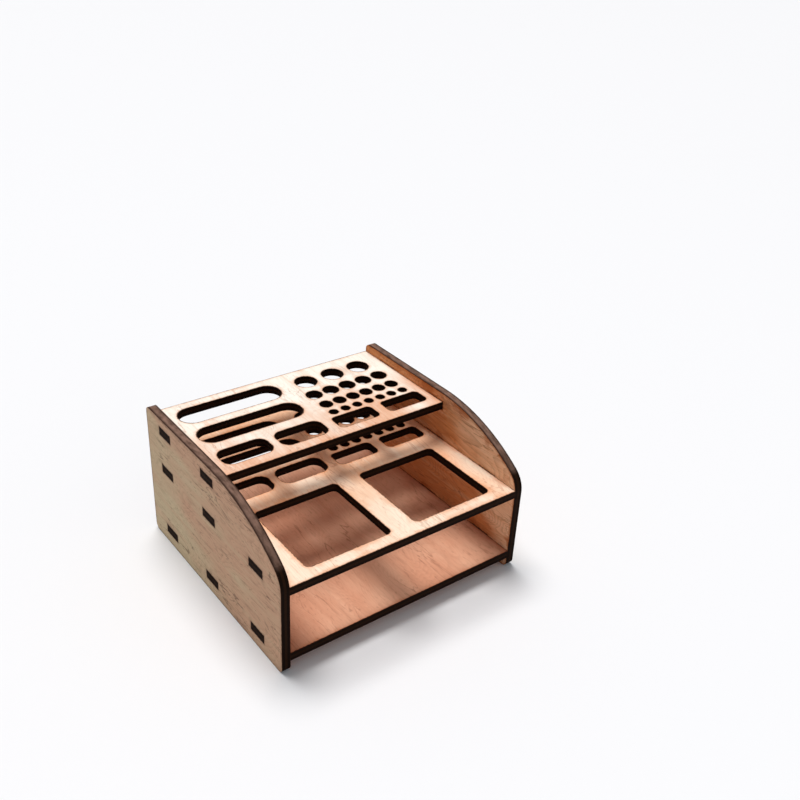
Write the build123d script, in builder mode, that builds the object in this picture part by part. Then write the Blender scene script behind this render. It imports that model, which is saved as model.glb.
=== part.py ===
from build123d import *
import os

# A small desk stand, cut by laser from one thickness of plywood. Two side panels carry three level plates,
# each by tabs that fill slots in the panels. The middle shelf has two square holes in front. The upper shelf
# is set back behind them and has slots on the left and round holes on the right, and the middle shelf
# repeats them straight below.
# Millimetres. +X is right, -Y is the front and +Z is up. The origin lies on the table, under the middle.

# ---- The sheet and its joints -------------------------------------------------------------------------
sheet = 4.0                  # plywood thickness of all five pieces
tab_length = 10.6            # along the depth
slot_play = 0.1              # gap between a tab and its slot, on each side
tab_front_margin = 14.3      # from the panels' front edge to the first tab
tab_rear_margin = 13.3       # from the last tab to the panels' rear edge

# ---- Heights ------------------------------------------------------------------------------------------
foot_gap = 5.5               # from the table to the base plate
lower_bay_height = 30.0      # clear, between the base plate and the middle shelf
shelf_gap = 16.0             # clear, between the middle shelf and the upper shelf
rail_height = 4.5            # side panels above the upper shelf
front_lip = 4.1              # side panels above the middle shelf, at the front, before the nose is rounded
nose_corner = 12.0           # radius of the nose, where the side panels' arc meets their front edge
panel_corner = 3.0           # radius at the side panels' other corners
brow_setback = 2.3           # from the upper shelf's front edge back to where the panels' top runs level

# ---- Square holes -------------------------------------------------------------------------------------
square_width = 42.0
square_depth = 43.1
square_corner = 2.5          # corner radius
square_front_margin = 6.3    # wood in front of a square hole
square_left_margin = 11.7    # wood on the left of the left hole
square_web = 12.4            # wood between the two holes
square_right_margin = 9.9    # wood on the right of the right hole
square_setback = 4.8         # from a square hole back to the upper shelf's front edge

# ---- Slots and round holes: the margins around the two blocks -----------------------------------------
front_margin = 5.8           # wood in front of the front slots
rear_margin = 5.1            # wood behind the last slot
left_margin = 6.05
block_gap = 5.45             # wood between the left and the right block
right_margin = 4.3

# ---- Left block: two short slots, then two long ones, as long as the right block leaves room for -------
long_slot_width = 14.2       # fully rounded at the ends
short_slot_width = 12.6
short_slot_corner = 4.5
short_slot_web = 4.1         # the two short slots and this web are as wide as a long slot
first_long_setback = 6.6     # wood between the short slots and the first long slot
second_long_setback = 5.3    # wood between the two long slots

# ---- Right block: two narrow slots, then four rows of round holes -------------------------------------
narrow_slot_length = 22.0
narrow_slot_width = 10.0
narrow_slot_corner = 2.5
narrow_slot_web = 5.7

fine_hole = 4.5              # diameter
fine_web = 2.15              # wood between neighbours in the row
fine_setback = 1.95          # wood between this row and the slots in front of it
fine_count = 7

small_hole = 6.4
small_web = 1.2
small_setback = 2.4
small_count = 6

medium_hole = 8.0
medium_web = 1.5
medium_setback = 3.35
medium_count = 5

large_hole = 11.2
large_web = 4.2
large_setback = 3.6
large_count = 3


# ---- What follows from them ---------------------------------------------------------------------------
def row_width(hole, web, count):
    """Width of a row of round holes, over its outer holes."""
    return count * hole + (count - 1) * web


inner_width = square_left_margin + 2 * square_width + square_web + square_right_margin
outer_width = inner_width + 2 * sheet

right_block = max(
    2 * narrow_slot_length + narrow_slot_web,
    row_width(fine_hole, fine_web, fine_count),
    row_width(small_hole, small_web, small_count),
    row_width(medium_hole, medium_web, medium_count),
    row_width(large_hole, large_web, large_count),
)
long_slot_length = inner_width - left_margin - block_gap - right_block - right_margin

upper_setback = square_front_margin + square_depth + square_setback
left_run = short_slot_width + first_long_setback + long_slot_width + second_long_setback + long_slot_width
right_run = (
    narrow_slot_width + fine_setback + fine_hole + small_setback + small_hole
    + medium_setback + medium_hole + large_setback + large_hole
)
upper_depth = front_margin + max(left_run, right_run) + rear_margin
depth = upper_setback + upper_depth

base_z = foot_gap
middle_z = base_z + sheet + lower_bay_height
upper_z = middle_z + sheet + shelf_gap
height = upper_z + sheet + rail_height
front_height = middle_z + sheet + front_lip

left_face = -inner_width / 2     # inner face of the left side panel
front = -depth / 2
rear = depth / 2
upper_front = front + upper_setback

# Tabs, from front to back. The middle one starts at the upper shelf's front edge, so that shelf has two.
front_tab_y = front + tab_front_margin + tab_length / 2
middle_tab_y = upper_front + tab_length / 2
rear_tab_y = rear - tab_rear_margin - tab_length / 2
full_depth_tabs = (front_tab_y, middle_tab_y, rear_tab_y)
upper_tabs = (middle_tab_y, rear_tab_y)

# Square holes.
square_y = front + square_front_margin + square_depth / 2
left_square_x = left_face + square_left_margin + square_width / 2
right_square_x = left_square_x + square_width + square_web

# Slots and round holes, from front to back.
left_block_x = left_face + left_margin + long_slot_length / 2
right_block_x = left_face + left_margin + long_slot_length + block_gap + right_block / 2
slots_front = upper_front + front_margin
short_slot_length = (long_slot_length - short_slot_web) / 2
short_slot_y = slots_front + short_slot_width / 2
first_long_y = slots_front + short_slot_width + first_long_setback + long_slot_width / 2
second_long_y = first_long_y + long_slot_width + second_long_setback
narrow_slot_y = slots_front + narrow_slot_width / 2
fine_y = narrow_slot_y + narrow_slot_width / 2 + fine_setback + fine_hole / 2
small_y = fine_y + fine_hole / 2 + small_setback + small_hole / 2
medium_y = small_y + small_hole / 2 + medium_setback + medium_hole / 2
large_y = medium_y + medium_hole / 2 + large_setback + large_hole / 2


# ---- Features that plates share -----------------------------------------------------------------------
def plate_outline(plate_front, tabs):
    """A plate from plate_front to the rear edge, and its tabs, which end flush with the panels' outside."""
    with Locations((0, (plate_front + rear) / 2)):
        Rectangle(inner_width, rear - plate_front)
    with Locations(*[(0, y) for y in tabs]):
        Rectangle(outer_width, tab_length)


def cut_slot_pair(middle_x, y, length, width, corner, web):
    """Two slots side by side, with a web of wood between them."""
    step = (length + web) / 2
    with Locations((middle_x - step, y), (middle_x + step, y)):
        RectangleRounded(length, width, corner, mode=Mode.SUBTRACT)


def cut_round_row(hole, web, count, y):
    """A row of round holes, centred on the right block."""
    with Locations((right_block_x, y)):
        with GridLocations(hole + web, 0, count, 1):
            Circle(hole / 2, mode=Mode.SUBTRACT)


def cut_pattern():
    """The slots and round holes, which both shelves have."""
    cut_slot_pair(
        left_block_x, short_slot_y, short_slot_length, short_slot_width, short_slot_corner, short_slot_web
    )
    with Locations((left_block_x, first_long_y), (left_block_x, second_long_y)):
        SlotOverall(long_slot_length, long_slot_width, mode=Mode.SUBTRACT)
    cut_slot_pair(
        right_block_x, narrow_slot_y, narrow_slot_length, narrow_slot_width,
        narrow_slot_corner, narrow_slot_web
    )
    cut_round_row(fine_hole, fine_web, fine_count, fine_y)
    cut_round_row(small_hole, small_web, small_count, small_y)
    cut_round_row(medium_hole, medium_web, medium_count, medium_y)
    cut_round_row(large_hole, large_web, large_count, large_y)


def finish(piece, name):
    """Labels a finished piece and writes its file."""
    piece.part.label = name
    export_step(piece.part, f"parts/{name}.step")


os.makedirs("parts", exist_ok=True)

# ---- Base plate: plain, and clear of the table --------------------------------------------------------
with BuildPart() as base_plate:
    with BuildSketch(Plane.XY.offset(base_z)):
        plate_outline(front, full_depth_tabs)
    extrude(amount=sheet)
finish(base_plate, "base_plate")

# ---- Middle shelf: two square holes in front, the slots and round holes behind --------------------------
with BuildPart() as middle_shelf:
    with BuildSketch(Plane.XY.offset(middle_z)):
        plate_outline(front, full_depth_tabs)
        with Locations((left_square_x, square_y), (right_square_x, square_y)):
            RectangleRounded(square_width, square_depth, square_corner, mode=Mode.SUBTRACT)
        cut_pattern()
    extrude(amount=sheet)
finish(middle_shelf, "middle_shelf")

# ---- Upper shelf: the same slots and round holes, set back behind the square holes ----------------------
with BuildPart() as upper_shelf:
    with BuildSketch(Plane.XY.offset(upper_z)):
        plate_outline(upper_front, upper_tabs)
        cut_pattern()
    extrude(amount=sheet)
finish(upper_shelf, "upper_shelf")

# ---- Side panels: a level top that falls in one arc to the low front ------------------------------------
brow_y = upper_front + brow_setback
panel_corners = (
    ((front, front_height, 0), nose_corner),
    ((front, 0, 0), panel_corner),
    ((rear, 0, 0), panel_corner),
    ((rear, height, 0), panel_corner),
)
slot_places = (
    [(y, base_z + sheet / 2) for y in full_depth_tabs]
    + [(y, middle_z + sheet / 2) for y in full_depth_tabs]
    + [(y, upper_z + sheet / 2) for y in upper_tabs]
)
for name, near_face in (("left_side", -outer_width / 2), ("right_side", inner_width / 2)):
    with BuildPart() as side_panel:
        with BuildSketch(Plane.YZ.offset(near_face)) as panel_face:
            with BuildLine():
                Polyline((front, front_height), (front, 0), (rear, 0), (rear, height), (brow_y, height))
                TangentArc((brow_y, height), (front, front_height), tangent=(-1, 0))
            make_face()
            # Every corner but the brow, where the arc leaves the level top smoothly.
            for corner, radius in panel_corners:
                fillet(panel_face.vertices().sort_by_distance(corner)[0], radius)
            with Locations(*slot_places):
                Rectangle(tab_length + 2 * slot_play, sheet + 2 * slot_play, mode=Mode.SUBTRACT)
        extrude(amount=sheet)
    finish(side_panel, name)
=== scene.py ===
import math

import bmesh
import bpy
from mathutils import Euler, Matrix, Vector


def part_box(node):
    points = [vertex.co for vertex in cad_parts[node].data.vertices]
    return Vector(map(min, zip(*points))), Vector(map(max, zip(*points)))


# The looks of a small laser-cut plywood stand: pale birch faces, burnt cut edges and a scorched halo along
# each cut. Every plate and panel is the CAD's own solid, and only gets a material here. Lengths are in
# metres in the scene and in millimetres in the materials. +X is right, -Y is the front and +Z is up.

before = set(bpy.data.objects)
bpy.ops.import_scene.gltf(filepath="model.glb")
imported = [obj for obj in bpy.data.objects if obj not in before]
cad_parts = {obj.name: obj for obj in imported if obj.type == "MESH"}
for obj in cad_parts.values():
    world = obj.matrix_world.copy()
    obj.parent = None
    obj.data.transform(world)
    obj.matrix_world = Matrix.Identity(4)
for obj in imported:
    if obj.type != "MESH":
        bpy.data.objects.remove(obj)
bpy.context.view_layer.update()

X, Y, Z = 0, 1, 2                # the axes of the scene
ALONG, UP = 0, 1                 # the axes of a loop's points
MM = 1000.0                      # millimetres in a metre
TOUCHING = 0.00001               # metres: nearer than this counts as the same place
WELD = 0.000001                  # metres: corners nearer than this are made one
SQUARE_ON = 0.99                 # the CAD's clean faces have more than this of their normal along one axis
FAR = 1000.0                     # millimetres: farther than any cut's halo reaches

# Their order settles which part of the noises each piece gets.
PIECES = ("base_plate", "middle_shelf", "upper_shelf", "left_side", "right_side")


# ---- Reading the cuts from the CAD ----------------------------------------------------------------------
def cut_loops(node, normal, along, up):
    """The edge loops of a flat piece's face that looks along normal, as points (along, up) in metres."""
    piece = bmesh.new()
    piece.from_mesh(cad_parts[node].data)
    bmesh.ops.remove_doubles(piece, verts=piece.verts, dist=WELD)
    piece.normal_update()
    face = {f for f in piece.faces if f.normal[normal] > SQUARE_ON}
    waiting = {e for e in piece.edges if sum(f in face for f in e.link_faces) == 1}
    loops = []
    while waiting:
        to_follow = [waiting.pop()]
        corners = set()
        while to_follow:
            edge = to_follow.pop()
            for corner in edge.verts:
                corners.add((corner.co[along], corner.co[up]))
                found = [e for e in corner.link_edges if e in waiting]
                waiting.difference_update(found)
                to_follow.extend(found)
        loops.append(sorted(corners))
    piece.free()
    return loops


def span(loop, axis):
    """Lowest and highest value of a loop's points along one axis."""
    values = [point[axis] for point in loop]
    return min(values), max(values)


def width(loop):
    """How far a loop reaches along its first axis."""
    left, right = span(loop, ALONG)
    return right - left


def cut_shapes(node, normal, along, up):
    """Each loop but the widest, the outline, as (centre, half size, corner radius) in millimetres."""
    *inner, _ = sorted(cut_loops(node, normal, along, up), key=width)
    shapes = []
    for loop in inner:
        (left, right), (low, high) = span(loop, ALONG), span(loop, UP)
        straight = [v for u, v in loop if right - u < TOUCHING]
        radius = (high - low - (max(straight) - min(straight))) / 2
        centre = ((left + right) / 2 * MM, (low + high) / 2 * MM)
        half_size = ((right - left) / 2 * MM, (high - low) / 2 * MM)
        shapes.append((centre, half_size, radius * MM))
    return shapes


def panel_curves(node):
    """The arc and the nose of a side panel's outline, each as (centre (y, z), radius) in metres."""
    low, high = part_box(node)
    outline = max(cut_loops(node, normal=X, along=Y, up=Z), key=len)

    # The arc leaves the level top at the brow, and passes its own point that lies halfway to the front.
    brow_y = min(y for y, z in outline if high.z - z < TOUCHING)
    halfway = (low.y + brow_y) / 2
    upper_points = [point for point in outline if point[UP] > high.z / 2]
    arc_y, arc_z = min(upper_points, key=lambda point: abs(point[ALONG] - halfway))
    drop = high.z - arc_z
    arc_radius = ((brow_y - arc_y) ** 2 + drop ** 2) / (2 * drop)
    arc_centre_z = high.z - arc_radius

    # The nose starts at the top of the straight front edge, and touches the arc from inside.
    nose_z = max(z for y, z in outline if y - low.y < TOUCHING)
    reach = brow_y - low.y
    rise = nose_z - arc_centre_z
    nose_radius = (arc_radius + reach - rise ** 2 / (arc_radius - reach)) / 2
    return ((brow_y, arc_centre_z), arc_radius), ((low.y + nose_radius, nose_z), nose_radius)


# ---- A short way to write shader nodes ------------------------------------------------------------------
class Shading:
    """One material and its nodes. A value may be a number, a tuple or another node's output."""

    def __init__(self, name):
        self.material = bpy.data.materials.new(name)
        self.material.use_nodes = True
        self.tree = self.material.node_tree
        self.shader = self.tree.nodes["Principled BSDF"]
        coordinates = self.tree.nodes.new("ShaderNodeTexCoord")
        self.normal = coordinates.outputs["Normal"]
        self.place = self.vector("MULTIPLY", coordinates.outputs["Object"], (MM, MM, MM))

    def feed(self, socket, value):
        """Links another node's output to a socket, or sets the socket to a number or a tuple."""
        if isinstance(value, bpy.types.NodeSocket):
            self.tree.links.new(value, socket)
        else:
            socket.default_value = value

    def math(self, operation, *values, clamp=False):
        node = self.tree.nodes.new("ShaderNodeMath")
        node.operation = operation
        node.use_clamp = clamp
        for socket, value in zip(node.inputs, values):
            self.feed(socket, value)
        return node.outputs[0]

    def vector(self, operation, *values):
        node = self.tree.nodes.new("ShaderNodeVectorMath")
        node.operation = operation
        for socket, value in zip(node.inputs, values):
            self.feed(socket, value)
        return node.outputs["Value" if operation in ("LENGTH", "DOT_PRODUCT") else "Vector"]

    def parts(self, vector):
        node = self.tree.nodes.new("ShaderNodeSeparateXYZ")
        self.feed(node.inputs[0], vector)
        return node.outputs

    def join(self, x, y, z):
        node = self.tree.nodes.new("ShaderNodeCombineXYZ")
        for socket, value in zip(node.inputs, (x, y, z)):
            self.feed(socket, value)
        return node.outputs[0]

    def noise(self, place, detail=3.0, roughness=0.55, distortion=0.0):
        """Noise from 0 to 1, one wave to each unit of place."""
        node = self.tree.nodes.new("ShaderNodeTexNoise")
        self.feed(node.inputs["Vector"], place)
        node.inputs["Scale"].default_value = 1.0
        node.inputs["Detail"].default_value = detail
        node.inputs["Roughness"].default_value = roughness
        node.inputs["Distortion"].default_value = distortion
        return node.outputs["Fac"]

    def between(self, value, start, full):
        """0 at start and 1 at full, smooth on the way. Full may be less than start."""
        node = self.tree.nodes.new("ShaderNodeMapRange")
        node.interpolation_type = "SMOOTHSTEP"
        self.feed(node.inputs["Value"], value)
        node.inputs["From Min"].default_value = start
        node.inputs["From Max"].default_value = full
        return node.outputs["Result"]

    def spread(self, share, least, most):
        """least where share is 0 and most where it is 1."""
        return self.math("MULTIPLY_ADD", share, most - least, least)

    def choose(self, share, first, second):
        """first where share is 1 and second where it is 0."""
        rest = self.math("MULTIPLY", self.math("SUBTRACT", 1.0, share), second)
        return self.math("MULTIPLY_ADD", share, first, rest)

    def mix(self, share, first, second):
        """A colour: first where share is 0 and second where it is 1."""
        node = self.tree.nodes.new("ShaderNodeMix")
        node.data_type = "RGBA"
        self.feed(node.inputs["Factor"], share)
        for socket, value in zip([s for s in node.inputs if s.type == "RGBA"], (first, second)):
            self.feed(socket, value)
        return [s for s in node.outputs if s.type == "RGBA"][0]

    def tint(self, colour, tone, share, strength):
        """The colour with that strength of the tone in it where share is 1, and none where it is 0."""
        return self.mix(self.math("MULTIPLY", share, strength), colour, tone)

    def bump(self, height, depth):
        """Bump of that depth in millimetres, for a height from 0 to 1."""
        node = self.tree.nodes.new("ShaderNodeBump")
        node.inputs["Distance"].default_value = depth / MM
        self.feed(node.inputs["Height"], height)
        return node.outputs["Normal"]


def srgb(red, green, blue):
    """A colour as a picture editor shows it, from 0 to 255, turned into the shader's linear one."""
    def linear(value):
        value /= 255
        return value / 12.92 if value <= 0.04045 else ((value + 0.055) / 1.055) ** 2.4
    return linear(red), linear(green), linear(blue), 1.0


# ---- Distance to the cuts -------------------------------------------------------------------------------
def nearest(s, distances):
    """The smallest of several distances."""
    found = distances[0]
    for distance in distances[1:]:
        found = s.math("MINIMUM", found, distance)
    return found


def distance_to_cut(s, flat_place, shape):
    """Distance in millimetres from a point of the face to the rim of one cut."""
    (u, v), (half_u, half_v), radius = shape
    away = s.vector("SUBTRACT", flat_place, (u, v, 0))
    core_u, core_v = half_u - radius, half_v - radius
    if core_u > MM * TOUCHING or core_v > MM * TOUCHING:
        beside = s.vector("SUBTRACT", s.vector("ABSOLUTE", away), (core_u, core_v, 0))
        away = s.vector("MAXIMUM", beside, (0, 0, 0))
    return s.math("SUBTRACT", s.vector("LENGTH", away), radius)


def plate_cut_distance(s, node):
    """Distance to the nearest cut of a level plate, its outline between the panels included."""
    low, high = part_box(node)
    half_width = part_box("right_side")[0].x * MM
    x, y, _ = s.parts(s.place)
    outline = [
        s.math("SUBTRACT", half_width, s.math("ABSOLUTE", x)),
        s.math("SUBTRACT", y, low.y * MM),
        s.math("SUBTRACT", high.y * MM, y),
    ]
    flat_place = s.join(x, y, 0)
    shapes = cut_shapes(node, normal=Z, along=X, up=Y)
    return nearest(s, outline + [distance_to_cut(s, flat_place, shape) for shape in shapes])


def arc_distance(s, y, z, centre, radius):
    """Distance to a side panel's arc and to the level top behind it, which the arc's top touches."""
    centre_y, centre_z = centre
    ahead = s.math("MINIMUM", s.math("SUBTRACT", y, centre_y * MM), 0.0)
    above = s.math("SUBTRACT", z, centre_z * MM)
    from_middle = s.vector("LENGTH", s.join(ahead, above, 0))
    return s.math("SUBTRACT", radius * MM, from_middle)


def nose_distance(s, y, z, centre, radius, arc_centre):
    """Distance to the rounded nose. Below where it starts and behind where it ends, that is FAR or more."""
    (nose_y, nose_z), (arc_y, arc_z) = centre, arc_centre
    slope = math.atan2(arc_y - nose_y, nose_z - arc_z)
    down_the_arc = (-math.cos(slope), -math.sin(slope), 0)
    from_centre = s.vector("SUBTRACT", s.join(y, z, 0), (nose_y * MM, nose_z * MM, 0))
    above_start = s.math("GREATER_THAN", s.vector("DOT_PRODUCT", from_centre, (0, 1, 0)), 0.0)
    before_end = s.math("GREATER_THAN", s.vector("DOT_PRODUCT", from_centre, down_the_arc), 0.0)
    elsewhere = s.math("SUBTRACT", 1.0, s.math("MULTIPLY", above_start, before_end))
    distance = s.math("SUBTRACT", radius * MM, s.vector("LENGTH", from_centre))
    return s.math("MULTIPLY_ADD", elsewhere, FAR, distance)


def panel_cut_distance(s, node):
    """Distance to the nearest cut of a side panel: its arc, nose, straight edges and slots."""
    low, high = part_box(node)
    (arc_centre, arc_radius), (nose_centre, nose_radius) = panel_curves(node)
    _, y, z = s.parts(s.place)
    outline = [
        arc_distance(s, y, z, arc_centre, arc_radius),
        nose_distance(s, y, z, nose_centre, nose_radius, arc_centre),
        s.math("SUBTRACT", y, low.y * MM),
        s.math("SUBTRACT", high.y * MM, y),
        s.math("SUBTRACT", z, low.z * MM),
    ]
    flat_place = s.join(y, z, 0)
    shapes = cut_shapes(node, normal=X, along=Y, up=Z)
    return nearest(s, outline + [distance_to_cut(s, flat_place, shape) for shape in shapes])


# ---- The tones of birch plywood, with painted shade and glare -------------------------------------------
# pale and warm are the two tones of the veneer, vein is the darkest line in it, and toast is what the heat
# made of it near a cut. drift makes the tone warmer along a direction, per millimetre, from level at the
# origin. On some pieces the tones and the drift paint shade and glare, as each set says. rings and grain
# are how strongly the growth rings and the fibres show, tan is how strongly the toast does, and stain is
# how many millimetres farther smoke has carried it in places.
# Painted shade: drift makes the middle shelf warmer and darker toward the rear, under the upper shelf, and
# a little warmer toward the left.
MIDDLE_TONES = dict(
    pale=srgb(250, 231, 210), warm=srgb(240, 194, 160), vein=srgb(166, 100, 68), toast=srgb(224, 138, 78),
    drift=(-0.0012, 0.0052, 0.0), level=0.15, rings=0.13, grain=0.62, tan=0.66, stain=4.0,
)
# Painted light: drift turns the upper shelf to its near-white pale toward the rear, a painted glare, and
# warmer and darker toward the front, painted shade.
UPPER_TONES = dict(
    pale=srgb(251, 246, 235), warm=srgb(232, 184, 154), vein=srgb(166, 100, 68), toast=srgb(220, 146, 96),
    drift=(-0.0010, -0.0066, 0.0), level=0.12, rings=0.11, grain=0.55, tan=0.60, stain=3.0,
)
# Partly painted shade: the base's tones are pinker than the shelves', a tone of its own, and darker, a
# painted shade on the base under the shelves.
BASE_TONES = dict(
    pale=srgb(222, 174, 146), warm=srgb(206, 150, 122), vein=srgb(126, 72, 50), toast=srgb(178, 102, 62),
    drift=(-0.0015, -0.0010, 0.0), level=0.0, rings=0.12, grain=0.66, tan=0.66, stain=3.0,
)
# Painted shade: the outer faces' tones are duller and darker than the shelves', standing in for the shade
# on a side panel's outer face.
OUTER_TONES = dict(
    pale=srgb(204, 183, 149), warm=srgb(203, 162, 133), vein=srgb(78, 50, 38), toast=srgb(136, 100, 80),
    drift=(0.0, -0.0034, 0.0040), level=-0.08, rings=0.15, grain=0.95, tan=0.55, stain=3.0,
)
# Painted light: the inner faces' orange stands in for warm light bounced between the panels, and drift
# makes them warmer and darker toward the rear and lower down, painted shade in the bays.
INNER_TONES = dict(
    pale=srgb(244, 200, 162), warm=srgb(214, 140, 88), vein=srgb(128, 66, 34), toast=srgb(172, 88, 38),
    drift=(0.0, 0.0124, -0.0092), level=0.84, rings=0.34, grain=0.80, tan=0.88, stain=9.0,
)

CHAR = srgb(44, 22, 14)          # wood charred right at a cut
BURNT = srgb(24, 12, 6)          # outer plies on a cut edge
BURNT_CORE = srgb(40, 22, 11)    # middle ply on a cut edge
GLUE = srgb(9, 5, 3)             # lines between the plies
EMBER = srgb(60, 29, 15)         # a cut edge's rim, next to the clean face
PAINTED_SHEEN = srgb(146, 115, 101)        # painted sheen: a mauve-grey highlight on the burnt edges that look up, where light from above falls

NOISE_MIDDLE = 0.5               # the value that a noise keeps around
RING_LINES = 52.0                # growth rings across the whole range of their noise
RING_SHARPNESS = 2.5             # more makes each ring darken later and end harder

TOAST_REACH = 2.0                # millimetres that the toast reaches, times a noise
TOAST_LEAST = 0.35               # added to that noise, so that some toast is everywhere along a cut
TOAST_FADE = 1.8                 # more makes the toast keep closer to the cut
CHAR_REACH = 0.42                # millimetres from the cut to where the char has faded out
CHAR_FULL = 0.08                 # millimetres from the cut to where it is still full
CHAR_WANDER = 0.9                # millimetres between a noise's lowest and highest shift of both

GLUE_LINE = 0.18                 # from the sheet's middle to the glue, as a share of its thickness
GLUE_BLEND = 0.02                # to each side of it, where the one ply's colour turns into the other's
EMBER_DEPTH = 0.35               # millimetres from the clean face that the redder rim reaches
FACE_TURN = 0.7                  # a clean face looks along the sheet's axis by more than this
FIBRE_RELIEF = 0.35              # height of the fibres beside that of the cut edges' ridges
RELIEF_DEPTH = 0.09              # millimetres
SHEEN = 0.05                     # bare wood hardly shines
OWN_PLACE = Vector((37.0, 91.0, 53.0))    # millimetres: gives each piece its own part of the noises


# ---- Birch plywood --------------------------------------------------------------------------------------
def wood_noise(s, place, across, along, detail=3.0, roughness=0.55, distortion=0.0):
    """Noise of so many waves to a millimetre across the grain, and along it, which is along Y."""
    stretched = s.vector("MULTIPLY", place, (across, along, across))
    return s.noise(stretched, detail, roughness, distortion)


def sheet_noise(s, place, normal, along, through, detail, roughness):
    """Noise of so many waves to a millimetre along the sheet, and through its thickness."""
    scale = [along, along, along]
    scale[normal] = through
    return s.noise(s.vector("MULTIPLY", place, tuple(scale)), detail, roughness)


def veneer_colour(s, place, tones):
    """The clean face: broad tones, growth rings, fibres, flecks and dark veins. Gives the fibres too."""
    pale, warm, vein, grain = tones["pale"], tones["warm"], tones["vein"], tones["grain"]

    broad = wood_noise(s, place, across=0.035, along=0.018, detail=2.0)
    # On some pieces drift paints shade and glare, as their tone sets say.
    drift = s.math("ADD", s.vector("DOT_PRODUCT", s.place, tones["drift"]), tones["level"])
    colour = s.mix(s.between(s.math("ADD", broad, drift), start=0.34, full=0.66), pale, warm)

    bands = wood_noise(s, place, across=0.28, along=0.0126, detail=4.0, distortion=0.4)
    colour = s.tint(colour, warm, s.between(bands, start=0.46, full=0.72), strength=0.42)
    colour = s.tint(colour, pale, s.between(bands, start=0.50, full=0.28), strength=0.38)

    growth = wood_noise(s, place, across=0.050, along=0.011, detail=1.5, distortion=0.5)
    ring = s.math("FRACT", s.math("MULTIPLY", growth, RING_LINES))
    colour = s.tint(colour, vein, s.math("POWER", ring, RING_SHARPNESS), strength=tones["rings"])

    fibres = wood_noise(s, place, across=0.95, along=0.0855, detail=4.0, roughness=0.72)
    colour = s.tint(colour, vein, s.between(fibres, start=0.50, full=0.76), strength=0.38 * grain)
    colour = s.tint(colour, pale, s.between(fibres, start=0.48, full=0.28), strength=0.34)

    flecks = wood_noise(s, place, across=1.5, along=0.36, detail=1.0)
    colour = s.tint(colour, vein, s.between(flecks, start=0.64, full=0.76), strength=0.42 * grain)

    # A vein follows the line where a noise passes its middle, and shows in patches only.
    wander = wood_noise(s, place, across=0.12, along=0.022, detail=4.0, roughness=0.56, distortion=0.5)
    from_line = s.math("ABSOLUTE", s.math("SUBTRACT", wander, NOISE_MIDDLE))
    line = s.between(from_line, start=0.014, full=0.003)
    patches = wood_noise(s, place, across=0.055, along=0.030, detail=1.0)
    veined = s.math("MULTIPLY", line, s.between(patches, start=0.46, full=0.60))
    return s.tint(colour, vein, veined, strength=0.62 * grain), fibres


def scorched(s, colour, place, distance, tones):
    """The face colour with a tan halo, smoke stains and a ragged charred line along each cut."""
    uneven = wood_noise(s, place, across=0.45, along=0.45)
    smoke = s.between(wood_noise(s, place, across=0.09, along=0.07), start=0.48, full=0.68)
    halo = s.math("MULTIPLY", s.math("ADD", uneven, TOAST_LEAST), TOAST_REACH)
    reach = s.math("MULTIPLY_ADD", smoke, tones["stain"], halo)
    share = s.math("SUBTRACT", 1.0, s.math("DIVIDE", distance, reach), clamp=True)
    colour = s.tint(colour, tones["toast"], s.math("POWER", share, TOAST_FADE), strength=tones["tan"])

    ragged = s.math("SUBTRACT", wood_noise(s, place, across=0.9, along=0.9), NOISE_MIDDLE)
    from_rim = s.math("SUBTRACT", distance, s.math("MULTIPLY", ragged, CHAR_WANDER))
    return s.tint(colour, CHAR, s.between(from_rim, start=CHAR_REACH, full=CHAR_FULL), strength=0.88)


def cut_edge_colour(s, place, normal, from_core, to_face, upward):
    """The burnt edge: three plies, dark glue lines, a redder rim, and a painted mauve-grey sheen where it
    looks up.
    """
    core = s.between(from_core, start=GLUE_LINE + GLUE_BLEND, full=GLUE_LINE - GLUE_BLEND)
    colour = s.mix(core, BURNT, BURNT_CORE)
    from_glue = s.math("ABSOLUTE", s.math("SUBTRACT", from_core, GLUE_LINE))
    colour = s.tint(colour, GLUE, s.between(from_glue, start=0.034, full=0.012), strength=0.8)
    colour = s.tint(colour, EMBER, s.between(to_face, start=EMBER_DEPTH, full=0.04), strength=0.6)

    # Painted highlight: a mottled mauve-grey sheen on the parts of the edge that look up, standing in for
    # light from above.
    looks_up = s.spread(s.between(upward, start=0.66, full=0.95), least=0.0, most=0.94)
    inside = s.spread(s.between(to_face, start=0.06, full=1.20), least=0.12, most=1.0)
    patches = sheet_noise(s, place, normal, along=0.20, through=0.55, detail=3.0, roughness=0.55)
    sheen_mottle = s.spread(s.between(patches, start=0.22, full=0.74), least=0.30, most=0.92)
    painted_sheen = s.math("MULTIPLY", s.math("MULTIPLY", sheen_mottle, looks_up), inside)
    return s.mix(painted_sheen, colour, PAINTED_SHEEN)


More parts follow.
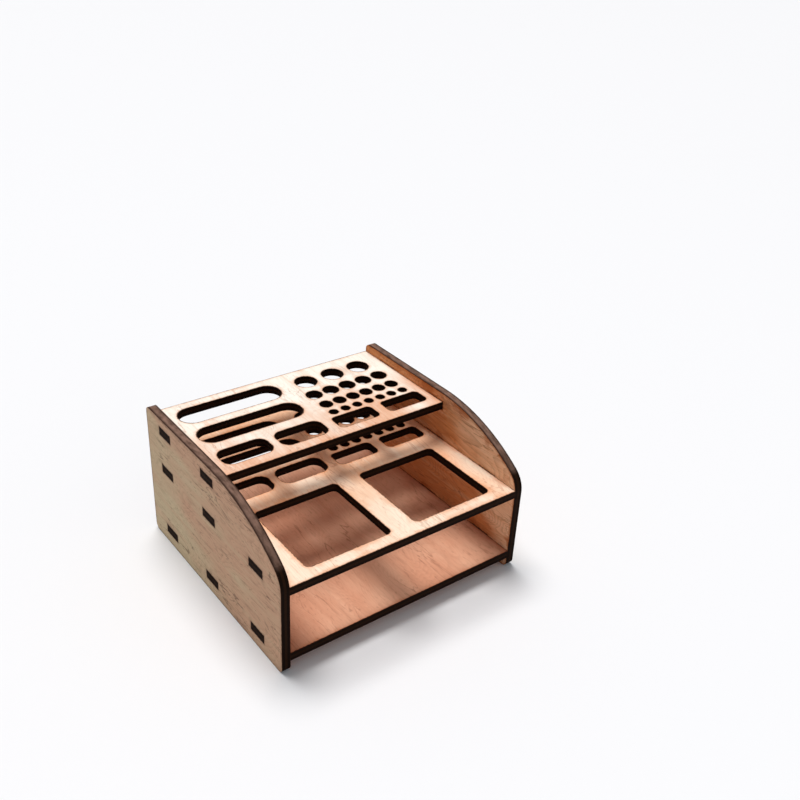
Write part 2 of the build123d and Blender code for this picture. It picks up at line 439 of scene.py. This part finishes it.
def plywood(node, normal, distance_of, tones, inner_tones=None):
    """One piece's plywood. Its clean faces look along the normal axis, and the rest is burnt cut edge."""
    s = Shading(f"{node}_plywood")
    low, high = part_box(node)
    thickness = (high[normal] - low[normal]) * MM
    depth = s.math("SUBTRACT", s.parts(s.place)[normal], low[normal] * MM)
    from_core = s.math("ABSOLUTE", s.math("SUBTRACT", s.math("DIVIDE", depth, thickness), 0.5))
    to_face = s.math("MULTIPLY", s.math("SUBTRACT", 0.5, from_core), thickness)
    looking = s.parts(s.normal)[normal]
    upward = s.parts(s.normal)[Z]

    place = s.vector("ADD", s.place, tuple(OWN_PLACE * (1 + PIECES.index(node))))
    distance = distance_of(s, node)
    face, fibres = veneer_colour(s, place, tones)
    face = scorched(s, face, place, distance, tones)
    # Painted light: faces that look into the stand take the inner tones, with their painted bounce light
    # and shade; the others keep the outer tones, with their painted shade.
    if inner_tones:
        inner, _ = veneer_colour(s, place, inner_tones)
        inner = scorched(s, inner, place, distance, inner_tones)
        inward = s.math("LESS_THAN" if node == "right_side" else "GREATER_THAN", looking, 0.0)
        face = s.mix(inward, face, inner)

    edge = cut_edge_colour(s, place, normal, from_core, to_face, upward)
    is_face = s.math("GREATER_THAN", s.math("ABSOLUTE", looking), FACE_TURN)
    s.feed(s.shader.inputs["Base Color"], s.mix(is_face, edge, face))

    ridges = sheet_noise(s, place, normal, along=1.3, through=0.30, detail=4.0, roughness=0.66)
    face_roughness = s.spread(fibres, least=0.50, most=0.72)
    edge_roughness = s.spread(ridges, least=0.66, most=0.96)
    s.feed(s.shader.inputs["Roughness"], s.choose(is_face, face_roughness, edge_roughness))
    height = s.choose(is_face, s.math("MULTIPLY", fibres, FIBRE_RELIEF), ridges)
    s.feed(s.shader.inputs["Normal"], s.bump(height, RELIEF_DEPTH))
    s.shader.inputs["Specular IOR Level"].default_value = SHEEN

    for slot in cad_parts[node].material_slots:
        slot.material = s.material


plywood("base_plate", Z, plate_cut_distance, BASE_TONES)
plywood("middle_shelf", Z, plate_cut_distance, MIDDLE_TONES)
plywood("upper_shelf", Z, plate_cut_distance, UPPER_TONES)
plywood("left_side", X, panel_cut_distance, OUTER_TONES, INNER_TONES)
plywood("right_side", X, panel_cut_distance, OUTER_TONES, INNER_TONES)


# ---- Floor ----------------------------------------------------------------------------------------------
FLOOR_REACH = 6.0                # metres to each side, far more than the stand needs
FLOOR_COLOUR = srgb(236, 238, 242)
FLOOR_ROUGHNESS = 0.8


def floor():
    """A plain pale floor."""
    mesh = bpy.data.meshes.new("floor")
    reach = FLOOR_REACH
    corners = [(-reach, -reach, 0), (reach, -reach, 0), (reach, reach, 0), (-reach, reach, 0)]
    mesh.from_pydata(corners, [], [(0, 1, 2, 3)])
    plane = bpy.data.objects.new("floor", mesh)
    bpy.context.scene.collection.objects.link(plane)
    paint = Shading("floor_paint")
    paint.shader.inputs["Base Color"].default_value = FLOOR_COLOUR
    paint.shader.inputs["Roughness"].default_value = FLOOR_ROUGHNESS
    mesh.materials.append(paint.material)


floor()

# ---- Light ----------------------------------------------------------------------------------------------
SKY_COLOUR = (0.96, 0.98, 1.0, 1.0)
SKY_STRENGTH = 0.31


def soft_sun(name, place, spread, strength, colour):
    """Even soft light that comes from the direction of place. spread is its apparent size in degrees."""
    light = bpy.data.lights.new(name, "SUN")
    light.angle = math.radians(spread)
    light.energy = strength
    light.color = colour
    lamp = bpy.data.objects.new(name, light)
    lamp.rotation_euler = (-Vector(place)).to_track_quat("-Z", "Y").to_euler()
    bpy.context.scene.collection.objects.link(lamp)


def sky():
    """Even light from all around."""
    world = bpy.data.worlds.new("studio")
    world.use_nodes = True
    background = world.node_tree.nodes["Background"]
    background.inputs["Color"].default_value = SKY_COLOUR
    background.inputs["Strength"].default_value = SKY_STRENGTH
    bpy.context.scene.world = world


soft_sun("key", place=(0.02, 0.32, 1.0), spread=32.0, strength=2.75, colour=(1.0, 0.97, 0.94))
soft_sun("fill", place=(0.30, -0.90, 0.55), spread=60.0, strength=0.18, colour=(1.0, 0.96, 0.94))
sky()
bpy.context.scene.view_settings.view_transform = "Standard"

# ---- Camera: solved from the photograph's straight edges ------------------------------------------------
CAMERA_PLACE = Vector((-0.20493, -0.30313, 0.28789))
CAMERA_TARGET = Vector((0.07534, 0.04848, 0.034))
CAMERA_ROLL = 3.233              # degrees
CAMERA_LENS = 42.95              # millimetres
CAMERA_SENSOR = 36.0             # millimetres wide
CAMERA_NEAREST = 0.01            # metres
CAMERA_FARTHEST = 50.0           # metres


def camera():
    """The photograph's view."""
    lens = bpy.data.cameras.new("camera")
    lens.sensor_width = CAMERA_SENSOR
    lens.lens = CAMERA_LENS
    lens.clip_start = CAMERA_NEAREST
    lens.clip_end = CAMERA_FARTHEST
    eye = bpy.data.objects.new("camera", lens)
    level = (CAMERA_TARGET - CAMERA_PLACE).to_track_quat("-Z", "Y").to_matrix().to_4x4()
    roll = Euler((0.0, 0.0, math.radians(CAMERA_ROLL))).to_matrix().to_4x4()
    eye.matrix_world = Matrix.Translation(CAMERA_PLACE) @ level @ roll
    bpy.context.scene.collection.objects.link(eye)
    bpy.context.scene.camera = eye


camera()
